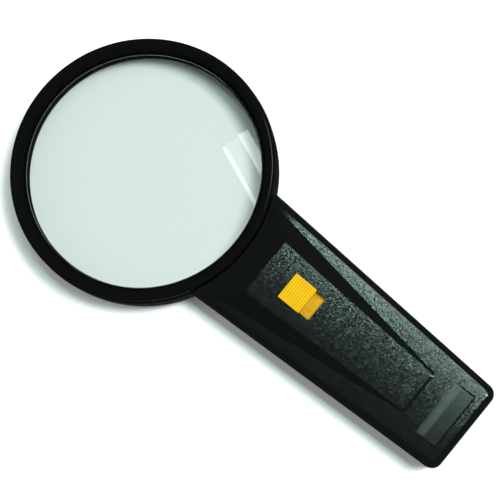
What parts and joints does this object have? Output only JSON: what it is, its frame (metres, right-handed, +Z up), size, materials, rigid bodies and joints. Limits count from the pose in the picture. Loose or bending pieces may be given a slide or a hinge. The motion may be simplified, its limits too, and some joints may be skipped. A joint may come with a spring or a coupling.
{
  "type": "illuminated hand magnifier",
  "caption": "Round low vision hand magnifier with an acrylic lens in a black ring, flat tapering handle, yellow slide switch, lamp at the neck and cells in the handle.",
  "frame": {"origin": "on the rest plane, under the centre of the whole outline", "axes": "+X along the handle from the lens to the tail, +Y across the handle, +Z up out of the front face"},
  "size_m": [0.1966, 0.0984, 0.0249],
  "materials": {
    "black_shell": "semi-gloss moulded black",
    "black_front": "black, glossy flanks, spark-eroded flat faces",
    "black_bezel": "glossy black",
    "lens_acrylic": "polished clear acrylic",
    "yellow_knob": "satin yellow",
    "board": "brown laminate",
    "screw_steel": "zinc plated",
    "contact_brass": "bright",
    "contact_bronze": "spring bronze",
    "contact_nickel": "nickel plated",
    "cell_steel": "plated steel",
    "cell_sleeve": "plain printed film, no marks",
    "bulb_glass": "clear",
    "tungsten": "dark wire",
    "black_glass": "black glass seal",
    "solder": "solder",
    "holder_plastic": "natural nylon",
    "reflector_chrome": "vacuum plated",
    "window_clear": "clear polystyrene",
    "lead_red": "PVC sleeve",
    "lead_black": "PVC sleeve"
  },
  "bodies": {
    "housing": {"bulb_cap": "contact_brass", "bulb_filament": "tungsten", "bulb_glass": "bulb_glass", "bulb_insulator": "black_glass", "bulb_tip": "solder", "cell_left_can": "cell_steel", "cell_left_jacket": "cell_sleeve", "cell_right_can": "cell_steel", "cell_right_jacket": "cell_sleeve", "front_contact_minus": "contact_nickel", "front_contact_plus": "contact_nickel", "front_spring": "contact_nickel", "handle_front": "black_front", "housing_screws": "screw_steel", "lamp_contact": "contact_brass", "lamp_holder": "holder_plastic", "lamp_reflector": "reflector_chrome", "lamp_socket": "contact_brass", "lamp_window": "window_clear", "lead_lamp": "lead_red", "lead_negative": "lead_black", "lens": "lens_acrylic", "lens_bezel": "black_bezel", "rear_shell": "black_shell", "switch_board": "board", "switch_board_screws": "screw_steel", "switch_strip_lamp": "contact_brass", "switch_strip_live": "contact_brass", "tail_link_plate": "contact_nickel", "tail_spring": "contact_nickel"},
    "battery_cover": {"battery_cover": "black_shell"},
    "switch_slider": {"switch_knob": "yellow_knob", "switch_wiper": "contact_bronze"}
  },
  "joints": [
    {"name": "switch_slide", "type": "slide", "parent": "housing", "child": "switch_slider", "axis": [0.9978, 0, -0.0661], "range_m": [0, 0.004]},
    {"name": "battery_cover_slide", "type": "slide", "parent": "housing", "child": "battery_cover", "axis": [1, 0, 0], "range_m": [0, 0.06]}
  ]
}
